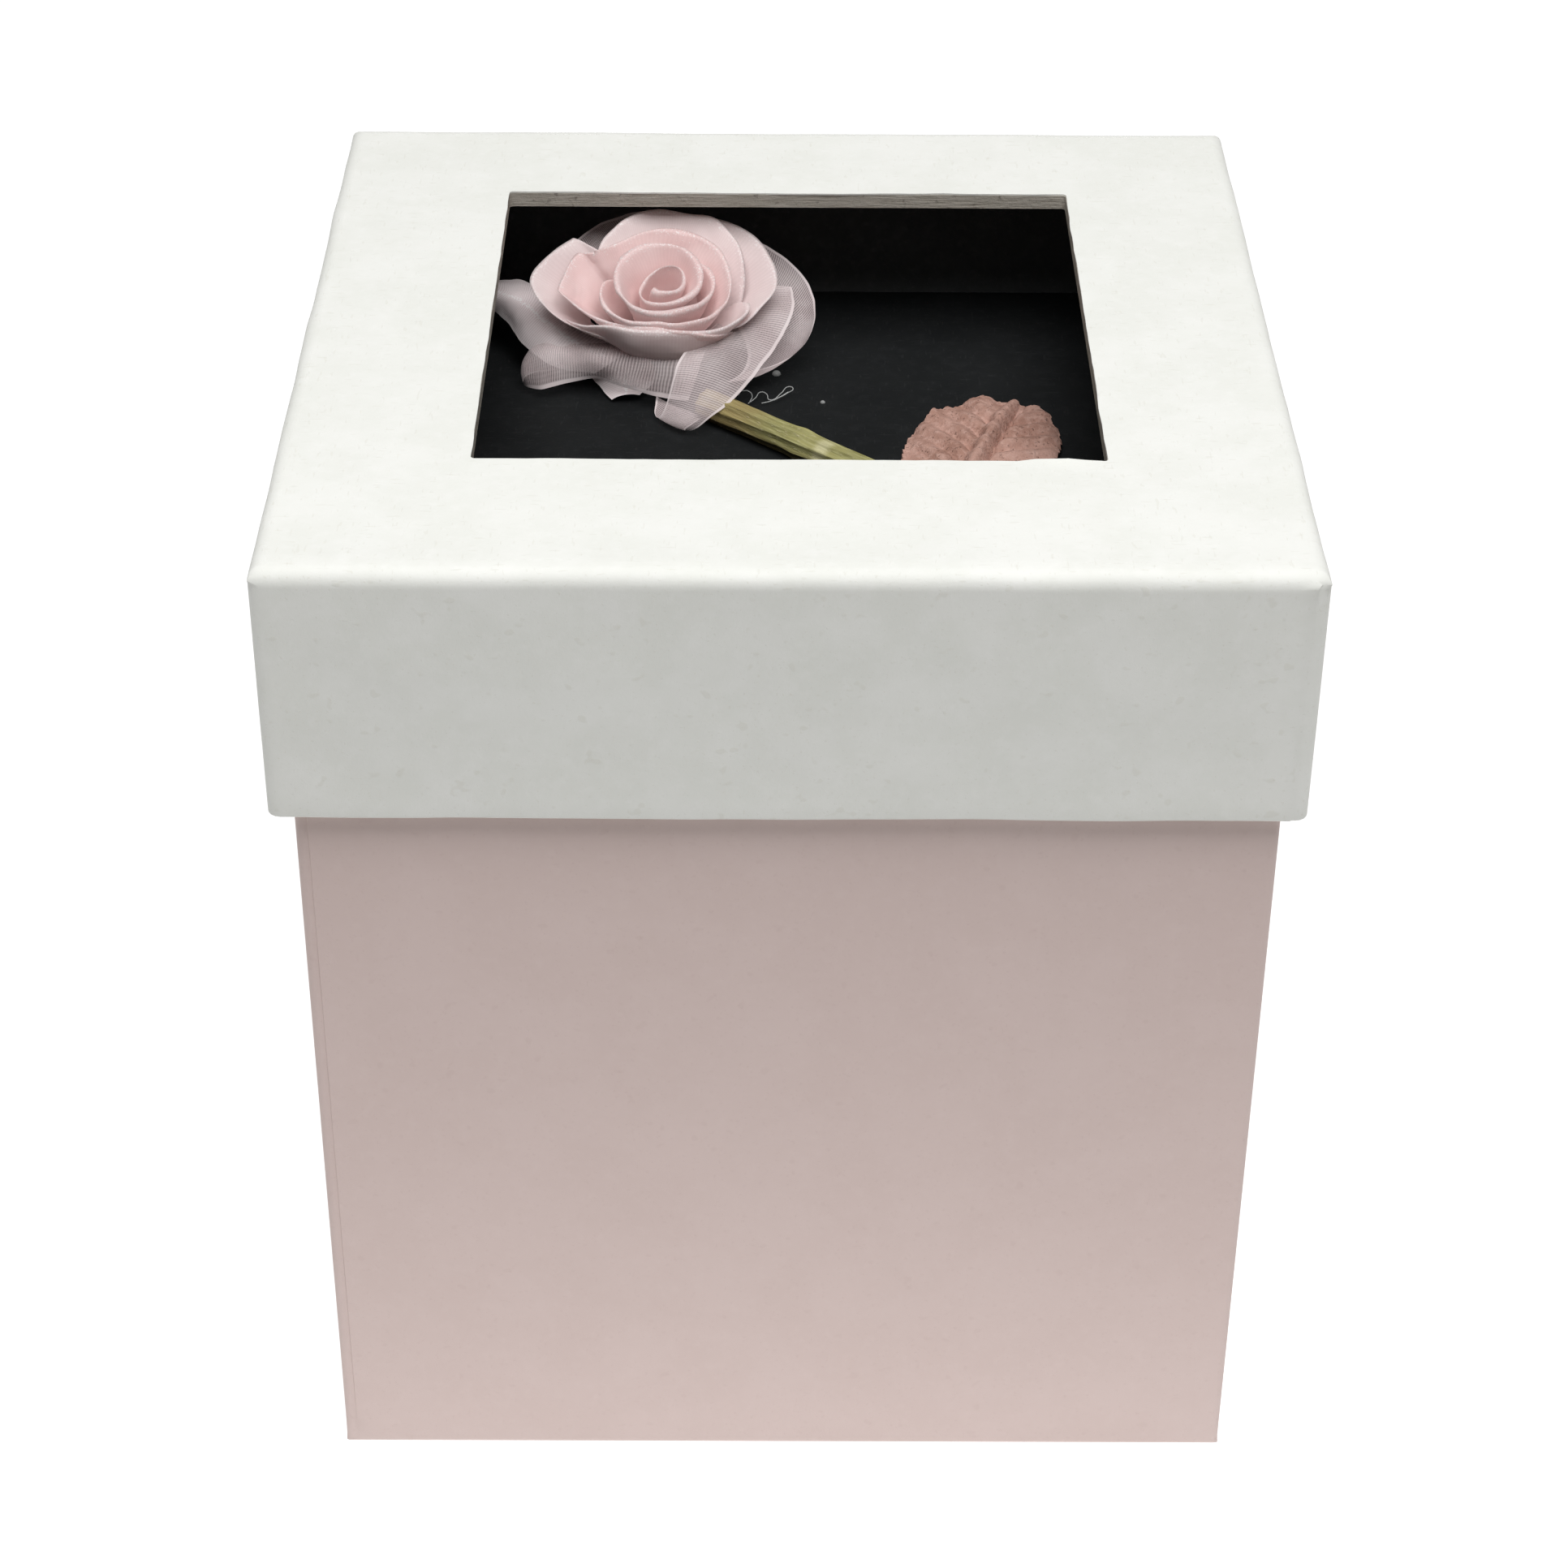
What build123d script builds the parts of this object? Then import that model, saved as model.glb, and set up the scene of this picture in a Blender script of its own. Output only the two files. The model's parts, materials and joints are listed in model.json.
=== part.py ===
from build123d import *
import math
import os

# A two-part rigid gift box: an open base and a lift-off lid. The lid has a
# square window over a shallow black display recess that holds a ribbon rose,
# a dried stem and a leaf. Origin: centre of the underside. +Z up, -Y front.

# Outside sizes, over the paper
lid_side = 115.0
base_side = 110.0
box_height = 129.3
skirt_depth = 31.3

# Sheet materials
board = 1.8
paper = 0.2
card = 1.0
tape = 0.1
foot_sheet = 0.3

# Window through the top of the lid
window_width = 71.0
window_length = 70.2
window_centre_y = 2.9
window_corner_radius = 0.5

# Display recess under the window
recess_drop = 21.9
seat_gap = 0.1

# Rounding of the outside edges, over the paper
lid_rounding = 1.4
base_rounding = 1.0

# How far the papers are turned over the board edges
turn_in = 15.0
lining_below_rim = 3.0
foot_sheet_inset = 2.5
stay_leg = 9.0

# Ribbon rose, which leans towards the front and a little to the right
rose_x = -16.8
rose_y = 30.5
rose_foot_height = 1.5
rose_lean_front = 22.0
rose_lean_right = 4.0
glue_height = 1.2
bud_foot_radius = 3.6
bud_radius = 6.1
bud_length = 13.0
bud_sunk = 1.0
inner_row_radius = 11.4
inner_row_foot = 2.0
inner_row_top = 12.6
petal_radius = 15.9
petal_foot = 3.5
petal_top = 11.0
loop_radius = 20.6
loop_foot = 4.5
petal_gap = 0.25

# Dried stem, lying on the recess floor
stem_radius = 1.65
stem_length = 54.0
stem_turn = -42.4
stem_start_x = -7.4
stem_start_y = 16.2
stem_clearance = 0.5
stem_end_clearance = 4.0

# Leaf
leaf_length = 27.2
leaf_width = 18.8
leaf_x = 24.0
leaf_y = 8.3
leaf_turn = 72.0
leaf_thickness = 0.4
leaf_height = 0.5

# Heights that follow from the sizes above
lid_half = lid_side / 2
base_half = base_side / 2
lid_bottom = box_height - skirt_depth
lid_board_top = box_height - paper
lid_board_under = lid_board_top - board
recess_floor = box_height - recess_drop
recess_board_top = recess_floor - paper
recess_board_under = recess_board_top - board
liner_under = recess_board_under - paper
rim_top = liner_under - seat_gap
floor_board_under = foot_sheet + paper
floor_board_top = floor_board_under + board

parts = {}


def block(x_low, x_high, y_low, y_high, z_low, z_high):
    size = (x_high - x_low, y_high - y_low, z_high - z_low)
    middle = ((x_low + x_high) / 2, (y_low + y_high) / 2, (z_low + z_high) / 2)
    return Pos(*middle) * Box(*size)


def slab(half, z_low, z_high):
    return block(-half, half, -half, half, z_low, z_high)


def ring(half_out, half_in, z_low, z_high):
    return slab(half_out, z_low, z_high) - slab(half_in, z_low - 1, z_high + 1)


def soft_slab(half, z_low, z_high, rounding, face=None):
    # A slab with its upright edges rounded, and those of its top or its foot
    body = slab(half, z_low, z_high)
    edges = body.edges().filter_by(Axis.Z)
    if face == "top":
        edges += body.edges().group_by(Axis.Z)[-1]
    if face == "foot":
        edges += body.edges().group_by(Axis.Z)[0]
    return fillet(edges, rounding)


def window_cut(z_low, z_high):
    outline = RectangleRounded(window_width, window_length, window_corner_radius)
    return Pos(0, window_centre_y, z_low) * extrude(outline, z_high - z_low)


def four_walls(prefix, suffix, half_out, thick, z_low, z_high):
    half_in = half_out - thick
    walls = {
        "front": block(-half_out, half_out, -half_out, -half_in, z_low, z_high),
        "back": block(-half_out, half_out, half_in, half_out, z_low, z_high),
        "left": block(-half_out, -half_in, -half_in, half_in, z_low, z_high),
        "right": block(half_in, half_out, -half_in, half_in, z_low, z_high),
    }
    return {f"{prefix}_{side}_{suffix}": wall for side, wall in walls.items()}


def corner_stays(prefix, half_out, z_low, z_high, rounding):
    # Gummed paper tape, folded round each upright corner and pressed flush
    skin = soft_slab(half_out, z_low, z_high, rounding)
    skin = skin - soft_slab(half_out - tape, z_low - 1, z_high + 1, rounding - tape)
    stays = {}
    for y_name, y_sign in (("front", -1), ("back", 1)):
        for x_name, x_sign in (("left", -1), ("right", 1)):
            reach = half_out - stay_leg
            far = half_out + 1
            x_low, x_high = sorted((x_sign * reach, x_sign * far))
            y_low, y_high = sorted((y_sign * reach, y_sign * far))
            corner = block(x_low, x_high, y_low, y_high, z_low, z_high)
            stays[f"{prefix}_corner_stay_{y_name}_{x_name}"] = skin & corner
    return stays


def with_stays(walls, stays, outline):
    pieces = {}
    for name, wall in walls.items():
        for stay in stays.values():
            wall = wall - stay
        pieces[name] = wall & outline
    for name, stay in stays.items():
        pieces[name] = stay & outline
    return pieces


def base_boards():
    outside = base_half - paper
    rounding = base_rounding - paper
    wall_top = rim_top - paper
    outline = soft_slab(outside, floor_board_under, wall_top + 1, rounding, "foot")
    walls = four_walls("base", "board", outside, board, floor_board_under, wall_top)
    stays = corner_stays("base", outside, floor_board_under, wall_top, rounding)
    pieces = with_stays(walls, stays, outline)
    pieces["base_floor_board"] = slab(outside - board, floor_board_under, floor_board_top)
    return pieces


def base_papers():
    wall_in = base_half - paper - board
    outside = base_half - paper
    turn_end = rim_top - turn_in
    outer_skin = soft_slab(base_half, foot_sheet, rim_top, base_rounding, "foot")
    outer_skin = outer_skin - soft_slab(
        outside, floor_board_under, rim_top - paper, base_rounding - paper, "foot"
    )
    outer_skin = outer_skin - slab(base_half - turn_in, 0, floor_board_under + 1)
    outer_skin = outer_skin - slab(wall_in - paper, rim_top - 1, rim_top + 1)
    inside_turn = ring(wall_in, wall_in - paper, turn_end, rim_top)
    lower_lining = ring(wall_in, wall_in - paper, floor_board_top, turn_end)
    upper_lining = ring(wall_in - paper, wall_in - 2 * paper, turn_end - paper, rim_top - lining_below_rim)
    return {
        "base_wrap": outer_skin + inside_turn,
        "base_wall_lining": lower_lining + upper_lining,
        "base_floor_lining": slab(wall_in - paper, floor_board_top, floor_board_top + paper),
        "base_bottom_sheet": slab(base_half - foot_sheet_inset, 0, foot_sheet),
    }


def lid_boards():
    outside = lid_half - paper
    rounding = lid_rounding - paper
    wall_foot = lid_bottom + paper
    outline = soft_slab(outside, wall_foot - 1, lid_board_top, rounding, "top")
    walls = four_walls("lid", "board", outside, board, wall_foot, lid_board_under)
    stays = corner_stays("lid", outside, wall_foot, lid_board_under, rounding)
    pieces = with_stays(walls, stays, outline)
    top = slab(outside, lid_board_under, lid_board_top) & outline
    pieces["lid_top_board"] = top - window_cut(lid_board_under - 1, lid_board_top + 1)
    return pieces


def lid_papers():
    skirt_in = lid_half - paper - board
    outer_skin = soft_slab(lid_half, lid_bottom, box_height, lid_rounding, "top")
    outer_skin = outer_skin - soft_slab(
        lid_half - paper, lid_bottom + paper, lid_board_top, lid_rounding - paper, "top"
    )
    outer_skin = outer_skin - window_cut(lid_board_top - 1, box_height + 1)
    outer_skin = outer_skin - slab(skirt_in - paper, lid_bottom - 1, lid_bottom + 1)
    inside_turn = ring(skirt_in, skirt_in - paper, lid_bottom, lid_bottom + turn_in)
    liner_half = skirt_in - paper
    return {
        "lid_wrap": outer_skin + inside_turn,
        "lid_inner_liner": slab(liner_half, liner_under, recess_board_under),
    }


def display_recess():
    outside = lid_half - 2 * paper - board
    pieces = four_walls("recess", "wall", outside, card, recess_board_top, lid_board_under)
    pieces["recess_floor_board"] = slab(outside, recess_board_under, recess_board_top)
    pieces["recess_floor_paper"] = slab(outside - card, recess_board_top, recess_floor)
    return pieces


def sector(inner, outer, start, end, z_low, z_high):
    # A piece of a ring about the rose's own axis, between two angles
    def at(radius, angle):
        turn = math.radians(angle)
        return (radius * math.cos(turn), radius * math.sin(turn))

    middle = (start + end) / 2
    inner_arc = ThreePointArc(at(inner, start), at(inner, middle), at(inner, end))
    outer_arc = ThreePointArc(at(outer, end), at(outer, middle), at(outer, start))
    side_a = Line(at(inner, end), at(outer, end))
    side_b = Line(at(outer, start), at(inner, start))
    face = make_face([inner_arc, side_a, outer_arc, side_b])
    return Pos(0, 0, z_low) * extrude(face, z_high - z_low)


def stem_place():
    return Pos(stem_start_x, stem_start_y, recess_floor + stem_radius) * Rot(0, 0, stem_turn)


def room_for_stem():
    wide = 2 * (stem_radius + stem_clearance)
    channel = Box(stem_length + 2 * stem_end_clearance, wide, wide)
    return stem_place() * Pos(stem_length / 2, 0, 0) * channel


def ribbon_rose():
    # Plain solids in the rose's own frame, leant over and cut flat underneath
    from_foot = (Align.CENTER, Align.CENTER, Align.MIN)
    bud = Cone(bud_foot_radius, bud_radius, bud_length + 2 * bud_sunk, align=from_foot)
    row_height = inner_row_top - inner_row_foot
    row = Cylinder(inner_row_radius, row_height, align=from_foot)
    row = row - Cylinder(bud_radius + petal_gap, row_height, align=from_foot)
    pieces = {
        "rose_bud": Pos(0, 0, -2 * bud_sunk) * bud,
        "rose_inner_row": Pos(0, 0, inner_row_foot) * row,
    }
    petal_in = inner_row_radius + petal_gap
    petals = {"right": (-44, 44), "back": (46, 134), "left": (136, 224), "front": (226, 314)}
    for side, (start, end) in petals.items():
        pieces[f"rose_petal_{side}"] = sector(
            petal_in, petal_radius, start, end, petal_foot, petal_top
        )
    loop_in = petal_radius + petal_gap
    loops = {
        "right": (-50, 28, loop_radius, 10.5),
        "back": (30, 146, loop_radius - 1.5, 9.0),
        "left": (148, 208, loop_radius + 1.8, 9.5),
        "front_left": (210, 252, loop_radius + 1.0, 10.5),
        "front": (254, 308, loop_radius, 11.0),
    }
    for side, (start, end, radius, top) in loops.items():
        pieces[f"rose_loop_{side}"] = sector(loop_in, radius, start, end, loop_foot, top)

    place = Pos(rose_x, rose_y, recess_floor + rose_foot_height)
    place = place * Rot(rose_lean_front, rose_lean_right, 0)
    near_floor = slab(lid_half, 0, recess_floor + 0.3)
    on_glue = slab(lid_half, 0, recess_floor + glue_height)
    for name, piece in pieces.items():
        under = on_glue if name == "rose_bud" else near_floor
        pieces[name] = place * piece - under - room_for_stem()
    return pieces


def glue():
    pad = Cylinder(3.4, glue_height, align=(Align.CENTER, Align.CENTER, Align.MIN))
    bead = Cylinder(0.6, 0.5, align=(Align.CENTER, Align.CENTER, Align.MIN))
    beads = [Pos(x, y, recess_floor) * bead for x, y in ((-1.3, 30.3), (4.6, 22.6))]
    return {
        "glue_pad": Pos(rose_x, rose_y, recess_floor) * pad,
        "glue_beads": Compound(beads),
    }


def stem():
    rod = Cylinder(stem_radius, stem_length, align=(Align.CENTER, Align.CENTER, Align.MIN))
    return {"flower_stem": stem_place() * Rot(0, 90, 0) * rod}


def leaf():
    blade = extrude(Ellipse(leaf_length / 2, leaf_width / 2), leaf_thickness)
    place = Pos(leaf_x, leaf_y, recess_floor + leaf_height) * Rot(0, 0, leaf_turn)
    return {"flower_leaf": place * blade}


parts.update(base_boards())
parts.update(base_papers())
parts.update(lid_boards())
parts.update(lid_papers())
parts.update(display_recess())
parts.update(ribbon_rose())
parts.update(glue())
parts.update(stem())
parts.update(leaf())

os.makedirs("parts", exist_ok=True)
for name, shape in parts.items():
    export_step(shape, f"parts/{name}.step")
print(len(parts), "parts written")
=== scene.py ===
import json
from math import atan2, cos, exp, pi, radians, sin, sqrt

import bmesh
import bpy
from mathutils import Matrix, Vector, noise


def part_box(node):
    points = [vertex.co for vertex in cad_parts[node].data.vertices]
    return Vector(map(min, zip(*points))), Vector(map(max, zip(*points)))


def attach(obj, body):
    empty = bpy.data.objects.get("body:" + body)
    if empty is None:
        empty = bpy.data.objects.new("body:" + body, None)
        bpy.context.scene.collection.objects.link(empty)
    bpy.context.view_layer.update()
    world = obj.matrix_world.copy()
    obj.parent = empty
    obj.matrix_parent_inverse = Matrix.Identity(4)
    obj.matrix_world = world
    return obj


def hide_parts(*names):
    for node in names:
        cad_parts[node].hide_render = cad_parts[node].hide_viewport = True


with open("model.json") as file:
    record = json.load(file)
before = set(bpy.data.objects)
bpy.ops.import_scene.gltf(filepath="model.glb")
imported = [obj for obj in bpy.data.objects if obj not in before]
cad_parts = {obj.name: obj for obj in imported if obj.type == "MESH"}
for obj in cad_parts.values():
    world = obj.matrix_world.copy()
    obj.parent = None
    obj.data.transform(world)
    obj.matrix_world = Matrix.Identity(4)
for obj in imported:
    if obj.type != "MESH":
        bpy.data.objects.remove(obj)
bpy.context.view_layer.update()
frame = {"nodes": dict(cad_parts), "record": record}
print("frame loaded:", len(frame["nodes"]), "nodes")

mm = 0.001
lidLow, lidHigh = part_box("lid_wrap")
baseLow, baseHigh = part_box("base_wrap")
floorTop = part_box("recess_floor_paper")[1].z  # floor of the display recess
gluePadLow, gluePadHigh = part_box("glue_pad")


# camera, lights and floor

studio = {
    "lens": 81.7,
    "cameraPlace": (-0.0025, -0.3806, 0.3215),
    "lookDown": 34.09,
    "turn": -0.36,
    "tilt": 0.44,
    "skyStrength": 0.12,
    "keyPower": 12.6,
    "floorGlow": 0.93,
    "dimGlow": 0.1,
    "dimFrom": -0.24,
    "dimTo": -0.10,
    "footGlow": 0.12,
    "footGlowPlace": (0.02, -0.11, 0.0),
    "footGlowReach": 0.08,
    "keyPlace": (0.05, -0.31, 1.08),
    "keySize": 0.85,
}


def makeCamera():
    turn = Matrix.Rotation(radians(studio["turn"]), 4, "Z")
    down = Matrix.Rotation(radians(90 - studio["lookDown"]), 4, "X")
    tilt = Matrix.Rotation(radians(studio["tilt"]), 4, "Z")
    bpy.ops.object.camera_add()
    camera = bpy.context.object
    camera.matrix_world = Matrix.Translation(studio["cameraPlace"]) @ turn @ down @ tilt
    camera.data.lens = studio["lens"]
    camera.data.sensor_width = 36
    camera.data.clip_start = 0.01
    bpy.context.scene.camera = camera


def makeStudio():
    bpy.context.scene.view_settings.view_transform = "Standard"
    world = bpy.data.worlds.new("softRoom")
    world.use_nodes = True
    sky = world.node_tree.nodes["Background"]
    sky.inputs["Color"].default_value = (1, 0.995, 0.98, 1)
    sky.inputs["Strength"].default_value = studio["skyStrength"]
    bpy.context.scene.world = world
    bpy.ops.object.light_add(type="AREA", location=studio["keyPlace"])
    key = bpy.context.object
    key.data.energy = studio["keyPower"]
    key.data.size = studio["keySize"]
    aim = Vector((0, 0, 0.1)) - Vector(studio["keyPlace"])
    key.rotation_euler = aim.to_track_quat("-Z", "Y").to_euler()
    bpy.ops.mesh.primitive_plane_add(size=8, location=(0, 0, 0))
    ground = bpy.context.object
    ground.name = "studioFloor"
    return ground


makeCamera()
ground = makeStudio()
print("camera and studio made")


# shader maths: a socket that takes part in sums, and one method for every other node

class Wire:
    def __init__(self, finish, socket):
        self.finish = finish
        self.socket = socket

    def sum(self, operation, *others):
        return self.finish.node("Math", {"operation": operation}, [self, *others])

    def back(self, operation, other):
        return self.finish.node("Math", {"operation": operation}, [other, self])

    def __add__(self, other):
        return self.sum("ADD", other)

    def __radd__(self, other):
        return self.back("ADD", other)

    def __sub__(self, other):
        return self.sum("SUBTRACT", other)

    def __rsub__(self, other):
        return self.back("SUBTRACT", other)

    def __mul__(self, other):
        return self.sum("MULTIPLY", other)

    def __rmul__(self, other):
        return self.back("MULTIPLY", other)

    def __truediv__(self, other):
        return self.sum("DIVIDE", other)

    def __pow__(self, other):
        return self.sum("POWER", other)

    def sine(self):
        return self.sum("SINE")

    def size(self):
        return self.sum("ABSOLUTE")


class Finish:
    def __init__(self, name, **fixed):
        self.material = bpy.data.materials.new(name)
        self.material.use_nodes = True
        self.tree = self.material.node_tree
        self.shader = self.tree.nodes["Principled BSDF"]
        for socketName, value in fixed.items():
            self.shader.inputs[socketName.replace("_", " ")].default_value = value

    def node(self, kind, settings=None, sockets=None, out=0):
        made = self.tree.nodes.new("ShaderNode" + kind)
        for key, value in (settings or {}).items():
            setattr(made, key, value)
        pairs = sockets.items() if isinstance(sockets, dict) else enumerate(sockets or [])
        for key, value in pairs:
            if isinstance(value, Wire):
                self.tree.links.new(value.socket, made.inputs[key])
            elif isinstance(value, tuple) and len(value) == 3 and made.inputs[key].type == "RGBA":
                made.inputs[key].default_value = (*value, 1)
            else:
                made.inputs[key].default_value = value
        return Wire(self, made.outputs[out])

    def place(self):
        return self.node("TexCoord", out=3)

    def cloth(self):
        return self.node("TexCoord", out=2)

    def parts(self, vector):
        split = self.node("SeparateXYZ", sockets=[vector])
        outs = split.socket.node.outputs
        return Wire(self, outs[0]), Wire(self, outs[1]), Wire(self, outs[2])

    def stretched(self, vector, scale):
        return self.node("Mapping", sockets={"Vector": vector, "Scale": scale})

    def cloud(self, vector, scale, detail=3.0, rough=0.55):
        sockets = {"Vector": vector, "Scale": scale, "Detail": detail, "Roughness": rough}
        return self.node("TexNoise", sockets=sockets)

    def step(self, value, low, high):
        return self.node("MapRange", {"interpolation_type": "SMOOTHSTEP"}, [value, low, high, 0.0, 1.0])

    def mix(self, factor, first, second):
        return self.node("Mix", {"data_type": "RGBA"}, {0: factor, 6: first, 7: second}, out=2)

    def distance(self, vector, place):
        return self.node("VectorMath", {"operation": "DISTANCE"}, [vector, place], out=1)

    def bump(self, height, strength, distance):
        return self.node("Bump", sockets={"Strength": strength, "Distance": distance, "Height": height})

    def feed(self, socketName, wire):
        self.tree.links.new(wire.socket, self.shader.inputs[socketName])


def paperFinish(name, plan):
    finish = Finish(name, Specular_IOR_Level=plan["gloss"])
    place = finish.place()
    mottle = finish.cloud(place, 120, 4)
    grain = finish.cloud(place, 2600, 4, 0.7)
    pulp = finish.cloud(place, 620, 3)
    # short pale and dark fibres lying at two angles in the sheet
    fibreA = finish.cloud(finish.stretched(place, (2600, 520, 2600)), 1.0, 1)
    fibreB = finish.cloud(finish.stretched(place, (520, 2600, 620)), 1.0, 1)
    fibres = finish.step(fibreA, 0.66, 0.74) + finish.step(fibreB, 0.67, 0.75)
    tone = finish.mix(finish.step(mottle, 0.35, 0.68), plan["shade"], plan["colour"])
    tone = finish.mix(finish.step(pulp, 0.45, 0.75) * plan["pulp"], tone, plan["light"])
    tone = finish.mix(fibres * plan["fibre"], tone, plan["fleck"])
    finish.feed("Base Color", tone)
    finish.feed("Roughness", plan["rough"] + 0.12 * grain)
    height = grain * 0.6 + pulp * 0.4 + fibres * 0.25
    finish.feed("Normal", finish.bump(height, plan["relief"], 0.00012))
    return finish.material


ivory = paperFinish("ivoryPaper", {
    "colour": (0.86, 0.862, 0.825), "shade": (0.825, 0.83, 0.785), "light": (0.89, 0.89, 0.86),
    "fleck": (0.74, 0.73, 0.66), "fibre": 0.35, "pulp": 0.35, "gloss": 0.3, "rough": 0.62, "relief": 0.35,
})
pink = paperFinish("pinkPaper", {
    "colour": (0.715, 0.58, 0.548), "shade": (0.70, 0.565, 0.532), "light": (0.735, 0.605, 0.572),
    "fleck": (0.63, 0.49, 0.46), "fibre": 0.25, "pulp": 0.35, "gloss": 0.3, "rough": 0.6, "relief": 0.3,
})
black = paperFinish("blackPaper", {
    "colour": (0.0105, 0.0115, 0.012), "shade": (0.0085, 0.0095, 0.010), "light": (0.016, 0.017, 0.018),
    "fleck": (0.030, 0.031, 0.032), "fibre": 0.25, "pulp": 0.45, "gloss": 0.15, "rough": 0.7, "relief": 0.4,
})
blackCard = paperFinish("blackCard", {
    "colour": (0.085, 0.09, 0.092), "shade": (0.07, 0.075, 0.077), "light": (0.105, 0.11, 0.112),
    "fleck": (0.13, 0.132, 0.134), "fibre": 0.25, "pulp": 0.45, "gloss": 0.2, "rough": 0.7, "relief": 0.4,
})


def greyboardFinish():
    finish = Finish("greyboard", Specular_IOR_Level=0.15)
    place = finish.place()
    layers = finish.cloud(finish.stretched(place, (260, 260, 4200)), 1.0, 3)
    fluff = finish.cloud(place, 1900, 4, 0.7)
    fleck = finish.step(finish.cloud(place, 900, 2), 0.62, 0.72)
    tone = finish.mix(finish.step(layers, 0.3, 0.7), (0.34, 0.31, 0.26), (0.50, 0.465, 0.41))
    tone = finish.mix(fluff * 0.5, tone, (0.5, 0.47, 0.42))
    tone = finish.mix(fleck * 0.6, tone, (0.16, 0.14, 0.12))
    finish.feed("Base Color", tone)
    finish.feed("Roughness", 0.8 + 0.15 * fluff)
    finish.feed("Normal", finish.bump(layers * 0.6 + fluff * 0.7, 0.7, 0.0002))
    return finish.material


def tapeFinish():
    finish = Finish("kraftTape", Specular_IOR_Level=0.3)
    place = finish.place()
    pulp = finish.cloud(finish.stretched(place, (900, 900, 240)), 1.0, 4)
    tone = finish.mix(pulp, (0.40, 0.27, 0.15), (0.60, 0.44, 0.27))
    finish.feed("Base Color", tone)
    finish.feed("Roughness", 0.6 + 0.2 * pulp)
    finish.feed("Normal", finish.bump(pulp, 0.3, 0.0001))
    return finish.material


def floorFinish():
    finish = Finish("glowingStudioFloor", Roughness=0.9, Specular_IOR_Level=0.1, Base_Color=(0.25, 0.25, 0.25, 1))
    # a glowing table, though no lamp: its emission is white round the box, a glowing spot paints a pool of
    # light at its front foot, and it dims further out towards the camera
    place = finish.place()
    away = finish.distance(place, studio["footGlowPlace"])
    # painted light: the glowing spot at the box's front foot
    footGlowSpot = ((away / studio["footGlowReach"]) ** 2 * -1).sum("EXPONENT")
    fromFront = finish.parts(place)[1]
    full = studio["floorGlow"] + studio["footGlow"]
    near = finish.step(fromFront, studio["dimFrom"], studio["dimTo"])
    tableGlow = (studio["dimGlow"] + near * (studio["floorGlow"] - studio["dimGlow"])) / full
    glow = tableGlow + footGlowSpot * (studio["footGlow"] / full)
    finish.feed("Emission Color", finish.mix(glow, (0, 0, 0), (1, 1, 0.995)))
    finish.shader.inputs["Emission Strength"].default_value = full
    return finish.material


greyboard = greyboardFinish()
kraftTape = tapeFinish()
ground.data.materials.append(floorFinish())
print("papers and boards mixed")


# small modelling helpers

def deselectAll():
    bpy.ops.object.select_all(action="DESELECT")


def workOn(piece):
    deselectAll()
    piece.select_set(True)
    bpy.context.view_layer.objects.active = piece


def settle(piece):
    workOn(piece)
    bpy.ops.object.transform_apply(location=True, rotation=True, scale=True)


def editPiece(piece, mode="FACE"):
    workOn(piece)
    bpy.ops.object.mode_set(mode="EDIT")
    bpy.ops.mesh.select_mode(type=mode)
    bpy.ops.mesh.select_all(action="DESELECT")


def leaveEdit():
    bpy.ops.object.mode_set(mode="OBJECT")


def pick(piece, kind, test):
    # selects the vertices, edges or faces whose middle passes the test
    bpy.ops.mesh.select_mode(type={"verts": "VERT", "edges": "EDGE", "faces": "FACE"}[kind])
    bpy.ops.mesh.select_all(action="DESELECT")
    mesh = bmesh.from_edit_mesh(piece.data)
    for item in getattr(mesh, kind):
        corners = [item] if kind == "verts" else item.verts
        middle = sum((v.co for v in corners), Vector()) / len(corners)
        if test(middle, item):
            item.select_set(True)
    mesh.select_flush_mode()
    bmesh.update_edit_mesh(piece.data)


def sliceEvery(axis, low, high, gap):
    # cuts the sheet into strips, so that it can ripple
    count = max(1, round((high - low) / gap))
    for i in range(1, count):
        place = [0, 0, 0]
        facing = [0, 0, 0]
        place[axis] = low + (high - low) * i / count
        facing[axis] = 1
        bpy.ops.mesh.select_all(action="SELECT")
        bpy.ops.mesh.bisect(plane_co=place, plane_no=facing)


def cutBesideSeam(seamX, gap):
    for offset in (-gap, gap):
        bpy.ops.mesh.select_all(action="SELECT")
        bpy.ops.mesh.bisect(plane_co=(seamX + offset, 0, 0), plane_no=(1, 0, 0))


def nudge(piece, move):
    for v in piece.data.vertices:
        v.co = v.co + move(v.co.copy())


def wave(co, size, seed):
    # smooth random number from about -1 to 1 at a place
    return noise.noise(Vector((co.x / size + seed, co.y / size - seed, co.z / size + 2 * seed)))


def applyModifier(piece, kind, **settings):
    workOn(piece)
    modifier = piece.modifiers.new(kind.lower(), kind)
    for key, value in settings.items():
        setattr(modifier, key, value)
    bpy.ops.object.modifier_apply(modifier=modifier.name)


def smooth(piece, angle=40):
    workOn(piece)
    bpy.ops.object.shade_smooth_by_angle(angle=radians(angle))


def finishPiece(piece, material, body, nodes=()):
    piece.data.materials.clear()
    piece.data.materials.append(material)
    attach(piece, body)
    if nodes:
        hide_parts(*nodes)


def newBox(name, low, high):
    deselectAll()
    bpy.ops.mesh.primitive_cube_add(size=1, location=(low + high) / 2, scale=high - low)
    piece = bpy.context.object
    piece.name = name
    settle(piece)
    return piece


# lid wrapping paper

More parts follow.
